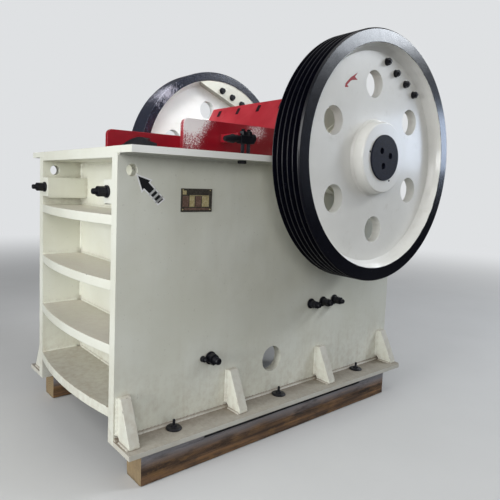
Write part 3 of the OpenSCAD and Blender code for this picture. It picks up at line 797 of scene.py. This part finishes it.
def hold_down(side, sign):
    """The clamp on the flange: two long bolts, a cross block, a pin and the guard's lug."""
    middle, rods, rod = sign * 0.610, (0.720, 0.762), 0.011
    underside, top = FLANGE_TOP + 0.058, FLANGE_TOP + 0.100
    bm = bmesh.new()
    for along in rods:
        threaded(bm, rod, 0.062, 0.0028, place(along, middle, FLANGE_TOP - 0.002), UP)
    stand(f"hold_down_rods_{side}", bm, BRIGHT, [f"clamp_{side}"])
    bm = bmesh.new()
    for along in rods:
        washer(bm, 0.0205, 0.004, place(along, middle, top), UP)
        nut(bm, 0.034, 0.021, place(along, middle, top + 0.004), UP, 0.5)
        threaded(bm, rod, 0.012, 0.0028, place(along, middle, top + 0.025), UP)
    nut(bm, 0.042, 0.018, place(rods[0], middle, FLANGE_LOW), DOWN, 0.2)
    inner, outer = sorted((sign * 0.588, sign * 0.632))
    block(bm, place(0.692, inner, underside), place(0.790, outer, top), 0.004)
    tilt = Vector((math.cos(math.radians(4)), 0.0, math.sin(math.radians(4))))
    turned(bm, CLAMP_PIN, place(0.590, middle, FLANGE_TOP + 0.076), tilt)
    stand(f"hold_down_{side}", bm, BLACK, [f"clamp_{side}"])
    bm = bmesh.new()
    inner, outer = sorted((sign * 0.468, sign * 0.622))
    block(bm, place(0.674, inner, FLANGE_TOP + 0.066), place(0.692, outer, FLANGE_TOP + 0.112), 0.003)
    stand(f"guard_lug_{side}", bm, RED_GUARD_SHADED, [f"clamp_{side}"])


def bearing_bolts(side, sign):
    """Ten bolts round the bearing's cap, and a stud through each of its feet."""
    bm = bmesh.new()
    for k in range(10):
        spot = around_shaft(0.196, math.tau * (k + 0.5) / 10, sign * 0.655)
        bolt(bm, spot, (0, sign, 0), flats=0.024, plate=0.003)
    for along in (-0.386, 0.386):
        spot = SHAFT + Vector((along, sign * 0.550, 0.0))
        spot.z = CORNER.z + FLANGE_TOP + 0.058
        stud(bm, spot, UP, rod=0.0165, flats=0.055, reach=0.066, pitch=0.004, plate=0.006, rim=0.036)
    stand(f"bearing_bolts_{side}", bm, BLACK)


def liner_bolts(side, sign):
    """Countersunk bolts in the cheek plate."""
    bm = bmesh.new()
    for along, up in ((0.420, 0.400), (0.900, 1.250), (0.480, 1.250)):
        turned(bm, LINER_BOLT, place(along, sign * (PLATE_IN - 0.002), up), (0, -sign, 0), 28)
    stand(f"liner_bolts_{side}", bm, STEEL)


def wheel_bolts(side, sign):
    """Counterweight bolts through the web, screws in the shaft's end and dots on the hub."""
    out = (0, sign, 0)
    bm = bmesh.new()
    for along, up in WEIGHT_BOLTS[side]:
        stud(bm, SHAFT + Vector((along, sign * WEB_OUT, up)), out,
             rod=0.011, flats=0.036, reach=0.034, pitch=0.003, plate=0.004)
        bolt(bm, SHAFT + Vector((along, sign * WEIGHT_IN, up)), (0, -sign, 0), flats=0.036, plate=0.004)
    for angle in (14, 134, 254):
        turned(bm, SHAFT_SCREW, around_shaft(0.053, math.radians(angle), sign * 0.891), out, 28)
    for along, up in ((-0.143, 0.030), (0.066, -0.136)):
        turned(bm, HUB_DOT, SHAFT + Vector((along, sign * WHEEL_OUT, up)), out, 16)
    stand(f"wheel_bolts_{side}", bm, BLACK, body="rotor")


def toggle_adjusters():
    """Adjusting screws behind the toggle block."""
    bm = bmesh.new()
    for across in (-0.240, 0.240):
        stud(bm, place(1.810, across, TOGGLE_UP), REARWARD,
             rod=0.028, flats=0.080, reach=0.120, pitch=0.005, plate=0.012, nuts=2)
    stand("toggle_adjusters", bm, BLACK)


def tension_rod():
    """The rod with its thread, the spring's cup and a nut."""
    bm = bmesh.new()
    start, smooth = place(0.860, 0.0, ROD_UP), 1.322
    turned(bm, [(0.020, 0.0), (0.022, 0.003), (0.022, smooth)], start, REARWARD)
    threaded(bm, 0.022, 0.080, 0.005, start + Vector((smooth, 0, 0)), REARWARD)
    turned(bm, [(0.072, 0.0), (0.074, 0.002), (0.074, 0.010), (0.072, 0.012)],
           place(2.200, 0.0, ROD_UP), REARWARD, 48)
    nut(bm, 0.066, 0.033, place(2.2125, 0.0, ROD_UP), REARWARD, 0.2)
    stand("tension_rod_turned", bm, STEEL, ["tension_rod"], body="swing_jaw")


def spring():
    """A coil of round wire between its seats."""
    turns, per_turn, pitch, wire, coil = 5, 40, 0.0285, 0.012, 0.062
    bm = bmesh.new()
    rings = []
    for i in range(turns * per_turn + 1):
        a = math.tau * i / per_turn
        x = 2.024 + pitch * i / per_turn
        ring = []
        for b in circle(18):
            r = coil + wire * math.cos(b)
            ring.append(bm.verts.new(place(x + wire * math.sin(b), r * math.cos(a),
                                           ROD_UP + r * math.sin(a))))
        rings.append(ring)
    loft(bm, rings)
    bmesh.ops.recalc_face_normals(bm, faces=bm.faces)
    stand("tension_coil", bm, BLACK, ["tension_spring"])


# Welds


def plate_welds(side, sign):
    """Beads of the side plate: under the flange, at gussets, ribs, tie block and guard."""
    out, inward = (0, sign, 0), (0, -sign, 0)
    face, inner = sign * PLATE_OUT, sign * PLATE_IN
    bm = bmesh.new()
    for start, end in ((0.006, 1.346), (1.820, 2.050)):
        bead(bm, place(start, face, FLANGE_LOW), place(end, face, FLANGE_LOW), 0.011, out, DOWN)
    for along, way in GUSSET_SIDES:
        bead(bm, place(along, face, BASE_TOP + 0.028), place(along, face, BASE_TOP + 0.222),
             0.010, out, (way, 0, 0))
    for top in RIB_TOPS:
        low = top - RIB_THICK
        bead(bm, place(0.008, inner, top), place(0.236, inner, top), 0.010, inward, UP)
        bead(bm, place(RECESS, inner, top + 0.026), place(RECESS, inner, top + 0.270),
             0.009, inward, FORWARD)
        bead(bm, place(0.008, inner, low), place(0.236, inner, low), 0.009, inward, DOWN)
    bead(bm, place(0.006, sign * 0.397, TIE_LOW), place(0.256, sign * 0.397, TIE_LOW), 0.006, DOWN, out)
    for start in (0.460, 0.700, 0.940, 1.180):
        bead(bm, place(start, sign * 0.470, FLANGE_TOP), place(start + 0.070, sign * 0.470, FLANGE_TOP),
             0.007, out, UP)
    stand(f"plate_welds_{side}", bm, CREAM, crease=60.0)


def base_welds(side, sign):
    """Beads on the base flange: along the side plate and beside each gusset."""
    face = sign * PLATE_OUT
    bm = bmesh.new()
    bead(bm, place(0.005, face, BASE_TOP), place(2.268, face, BASE_TOP), 0.014, (0, sign, 0), UP)
    for along, way in GUSSET_SIDES:
        bead(bm, place(along, sign * 0.572, BASE_TOP), place(along, sign * 0.668, BASE_TOP),
             0.009, UP, (way, 0, 0))
    stand(f"base_welds_{side}", bm, CREAM_BASE, crease=60.0)


def bay_welds():
    """Beads at the back of the front bays, over and under each rib."""
    bm = bmesh.new()
    for top in RIB_TOPS:
        for level, way in ((top, UP), (top - RIB_THICK, DOWN)):
            bead(bm, place(RECESS, -0.458, level), place(RECESS, 0.458, level), 0.010, FORWARD, way)
    bead(bm, place(RECESS, -0.392, 1.428), place(RECESS, 0.392, 1.428), 0.010, FORWARD, DOWN)
    stand("bay_welds", bm, CREAM_RIBS, crease=60.0)


# Painted marks and nameplate


def sheet(bm, points, centre, thickness):
    """A thin flat shape in the near face's plane; points are (along, up), centre is on the face."""
    lower = [bm.verts.new(centre + Vector((a, 0.0, u))) for a, u in points]
    upper = [bm.verts.new(centre + Vector((a, -thickness, u))) for a, u in points]
    ends = loft(bm, [lower, upper])
    for face in ends:
        face.normal_update()
    bmesh.ops.triangulate(bm, faces=ends)
    bmesh.ops.recalc_face_normals(bm, faces=bm.faces)


def swollen(points, by):
    """The outline moved outward by a margin, corners kept."""
    count = len(points)
    area = sum(points[k][0] * points[(k + 1) % count][1] - points[(k + 1) % count][0] * points[k][1]
               for k in range(count))
    turn = 1 if area > 0 else -1
    moved = []
    for k in range(count):
        before, here, after = (Vector(points[(k + d) % count]) for d in (-1, 0, 1))
        first, second = (here - before).normalized(), (after - here).normalized()
        normal_a = Vector((first.y, -first.x)) * turn
        normal_b = Vector((second.y, -second.x)) * turn
        miter = (normal_a + normal_b).normalized()
        moved.append(here + miter * min(by / max(miter.dot(normal_a), 0.35), by * 2.2))
    return [(p.x, p.y) for p in moved]


def lift_arrow():
    """The stencilled arrow that points at the lifting hole: head, three bars and a pale ground."""
    shapes = [[(0.112, 1.344), (0.180, 1.324), (0.171, 1.314), (0.204, 1.283),
               (0.178, 1.260), (0.146, 1.286), (0.137, 1.276)]]
    for near_end, far_end in ((0.012, 0.028), (0.040, 0.056), (0.067, 0.075)):
        upper = [(0.204 + 0.72 * t, 1.283 - 0.69 * t) for t in (near_end, far_end)]
        lower = [(0.178 + 0.68 * t, 1.260 - 0.67 * t) for t in (far_end, near_end)]
        shapes.append(upper + lower)
    face = place(0.0, -PLATE_OUT, 0.0)
    bm = bmesh.new()
    for shape in shapes:
        sheet(bm, swollen(shape, 0.008), face, 0.0006)
    stand("lift_arrow_ground", bm, MARK_WHITE)
    bm = bmesh.new()
    for shape in shapes:
        sheet(bm, shape, face + Vector((0, -0.0004, 0)), 0.0007)
    stand("lift_arrow", bm, MARK_BLACK)


def turning_arrow():
    """The red arrow on the sheave's web for the direction of turning."""
    bm = bmesh.new()
    sheet(bm, [(1.268, 1.892), (1.272, 1.913), (1.318, 1.954), (1.377, 1.988), (1.353, 1.962),
               (1.379, 1.948), (1.334, 1.941), (1.317, 1.934), (1.287, 1.908), (1.299, 1.896)],
          place(0.0, -WEB_OUT, 0.0), 0.0010)
    stand("turning_arrow", bm, MARK_RED, body="rotor")


def nameplate():
    """A bare plate: riveted sheet, raised border and blank fields, nothing written on it."""
    low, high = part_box("nameplate")
    back, wide, tall = low.y + 0.004, high.x - low.x, high.z - low.z

    def raised(bm, lift, edge, *fields):
        """Raised rectangles; left, right, bottom and top are shares of the plate."""
        for left, right, bottom, top in fields:
            block(bm, (low.x + wide * left, back - lift, low.z + tall * bottom),
                  (low.x + wide * right, back, low.z + tall * top), edge)

    bm = bmesh.new()
    raised(bm, 0.0020, 0.0006, (0.0, 1.0, 0.0, 1.0))
    raised(bm, 0.0034, 0.0006, (0.0, 1.0, 0.955, 1.0), (0.0, 1.0, 0.0, 0.045),
           (0.0, 0.03, 0.045, 0.955), (0.97, 1.0, 0.045, 0.955))
    raised(bm, 0.0027, 0.0006, (0.20, 0.95, 0.74, 0.91))
    stand("nameplate_sheet", bm, LACQUER, ["nameplate"])
    bm = bmesh.new()
    raised(bm, 0.0028, 0.0006, (0.05, 0.17, 0.74, 0.91), (0.27, 0.43, 0.22, 0.68),
           (0.67, 0.90, 0.22, 0.68), (0.27, 0.90, 0.69, 0.715))
    for left in (0.06, 0.94):
        for bottom in (0.10, 0.945):
            spot = Vector((low.x + wide * left, back - 0.002, low.z + tall * bottom))
            turned(bm, RIVET, spot, (0, -1, 0), 16)
    stand("nameplate_brass", bm, BRASS, ["nameplate"])
    bm = bmesh.new()
    raised(bm, 0.0027, 0.0004, (0.05, 0.24, 0.22, 0.68), (0.46, 0.64, 0.22, 0.68), (0.10, 0.90, 0.08, 0.17))
    stand("nameplate_brown", bm, LACQUER_BROWN, ["nameplate"])


# The machine, put together

for side, _ in SIDES:
    dressed(f"side_plate_{side}", CREAM)
    dressed(f"top_flange_{side}", CREAM_FLANGE)
    dressed(f"base_flange_{side}", CREAM_BASE)
    dressed(f"gussets_{side}", CREAM_GUSSET_SHADED, 0.004)
    dressed(f"bearing_housing_{side}", CREAM, 0.006)
    dressed(f"cheek_plate_{side}", MANGANESE, 0.004)
    dressed(f"counterweight_{side}", CREAM_WEIGHT, 0.004, body="rotor")
    timber(side)
dressed("top_flange_front", CREAM)
dressed("front_wall", CREAM, 0.002)
for number in range(1, 5):
    dressed(f"front_rib_{number}", CREAM_RIBS)
dressed("rear_wall", CREAM)
dressed("rear_ribs", CREAM_RIBS)
dressed("spring_beam", CREAM)
dressed("guard_plate_near", RED_MISTED)
dressed("guard_plate_far", RED_GUARD_SHADED)
dressed("pitman", RED, 0.006, body="swing_jaw")
dressed("jaw_guard", RED, body="swing_jaw")
slot_plugs()
dressed("fixed_jaw_plate", MANGANESE_PAINTED, 0.004,
        planed=(place(0.410, 0.0, 1.584), (-0.150, 0.0, 0.100)))
dressed("moving_jaw_plate", MANGANESE, 0.004, body="swing_jaw")
dressed("toggle_plate", STEEL, 0.004, body="swing_jaw")
dressed("toggle_block", STEEL, 0.004)
dressed("eccentric_shaft", SHAFT_PAINT, body="rotor")
dressed("flywheel_grooved", WHEEL_NEAR, 0.0018, body="rotor")
dressed("flywheel_plain", WHEEL_FAR, 0.004, body="rotor")
for side, sign in SIDES:
    side_studs(side, sign)
    anchor_pins(side, sign)
    tie_block(side, sign)
    hold_down(side, sign)
    bearing_bolts(side, sign)
    liner_bolts(side, sign)
    wheel_bolts(side, sign)
toggle_adjusters()
tension_rod()
spring()
for side, sign in SIDES:
    plate_welds(side, sign)
    base_welds(side, sign)
bay_welds()
lift_arrow()
turning_arrow()
nameplate()

# Camera, floor and light

PALE = tone("dfe1e3")


def softbox(name, spot, target, size, power, colour=(1.0, 1.0, 1.0), spread=180.0):
    """A rectangular lamp at spot that looks at target."""
    lamp = bpy.data.lights.new(name, "AREA")
    lamp.shape = "RECTANGLE"
    lamp.size, lamp.size_y = size
    lamp.energy = power
    lamp.color = colour
    lamp.spread = math.radians(spread)
    box = shown(name, lamp)
    box.location = spot
    box.rotation_euler = (Vector(target) - box.location).to_track_quat("-Z", "Y").to_euler()


def stand_camera():
    """The photograph's viewpoint: hand height, in front of the near corner, slightly rolled."""
    eye = (-2.2132, -2.6802, 1.5006)
    yaw, pitch, roll = (math.radians(a) for a in (52.64, -5.05, 1.87))
    ahead = Vector((math.cos(yaw) * math.cos(pitch), math.sin(yaw) * math.cos(pitch), math.sin(pitch)))
    right = Vector((math.sin(yaw), -math.cos(yaw), 0.0))
    upward = right.cross(ahead)
    rolled_right = right * math.cos(roll) + upward * math.sin(roll)
    rolled_up = upward * math.cos(roll) - right * math.sin(roll)
    data = bpy.data.cameras.new("hand_height")
    data.sensor_width = 36.0
    data.lens = 35.68
    data.shift_x, data.shift_y = 0.0858, -0.0462
    data.clip_end = 200.0
    camera = shown("hand_height", data)
    turn = Matrix((rolled_right, rolled_up, -ahead)).transposed().to_4x4()
    camera.matrix_world = Matrix.Translation(eye) @ turn
    bpy.context.scene.camera = camera


def lay_floor():
    """A pale floor that keeps the shadow and pales into the backdrop."""
    f = Finish("pale_floor")
    spot = f.spot()
    away = f.span(spot)
    grey = f.mix(f.noise(spot, 1.5, 5.0, 0.6), tone("cfcfcd"), tone("d8d8d6"))
    ground = f.node("ShaderNodeBsdfPrincipled", None, {"Base Color": grey, "Roughness": 0.75})
    glow = f.node("ShaderNodeEmission", None, {"Color": PALE, "Strength": 1.0})
    pale = f.node("ShaderNodeMixShader", None, {0: f.ease(away, 4.0, 11.0), 1: ground, 2: glow})
    mirrored = f.node("ShaderNodeLightPath", None, None, "Is Glossy Ray")
    dim = f.mix(mirrored, tone("585858"), tone("2c2c2e"))
    slab = f.node("ShaderNodeBsdfPrincipled", None, {"Base Color": dim, "Roughness": 0.8})
    seen = f.node("ShaderNodeLightPath", None, None, "Is Camera Ray")
    both = f.node("ShaderNodeMixShader", None, {0: seen, 1: slab, 2: pale})
    bm = bmesh.new()
    bmesh.ops.create_circle(bm, cap_ends=True, segments=96, radius=60.0)
    floor = solid("floor", bm, f.surface(both))


def fill_world():
    """Plain ambient light, weaker in reflections; the camera alone sees the pale backdrop."""
    f = Finish("studio", world=True)
    mirrored = f.node("ShaderNodeLightPath", None, None, "Is Glossy Ray")
    level = f.node("ShaderNodeMapRange", None, {"Value": mirrored, "To Min": 0.31, "To Max": 0.10})
    ambient = f.node("ShaderNodeBackground", None, {"Color": tone("f4f6fa"), "Strength": level})
    backdrop = f.node("ShaderNodeBackground", None, {"Color": PALE})
    seen = f.node("ShaderNodeLightPath", None, None, "Is Camera Ray")
    both = f.node("ShaderNodeMixShader", None, {0: seen, 1: ambient, 2: backdrop})
    bpy.context.scene.world = f.surface(both)


stand_camera()
lay_floor()
fill_world()
softbox("door_light", (-6.4, -1.0, 1.75), (-0.6, 0.0, 1.2), (2.4, 2.3), 238.0, (0.96, 0.98, 1.0))
softbox("door_sky", (-4.9, -1.3, 5.4), (-0.6, 0.0, 1.2), (2.6, 1.6), 45.0)
softbox("hall_windows", (-4.3, -5.3, 3.3), (0.0, -0.6, 1.2), (4.0, 2.6), 118.0)
softbox("side_window", (6.9, -3.5, 5.3), (0.3, -0.5, 0.9), (1.3, 1.3), 150.0, (0.93, 0.96, 1.0))
softbox("window_high", (6.2, -4.6, 4.9), (0.6, -0.9, 2.0), (2.4, 1.5), 105.0, (0.86, 0.92, 1.0))
softbox("window_low", (6.2, -3.8, 2.35), (0.6, -0.9, 1.8), (1.7, 1.0), 32.0, (0.66, 0.78, 1.0))
softbox("roof_light_far", (-0.9, -0.5, 4.6), (0.10, 0.82, 2.15), (0.8, 0.8), 4.0, spread=40.0)
softbox("overhead", (0.0, -1.2, 6.0), (0.0, 0.0, 1.0), (4.5, 3.0), 38.0)
bpy.context.scene.view_settings.view_transform = "Standard"
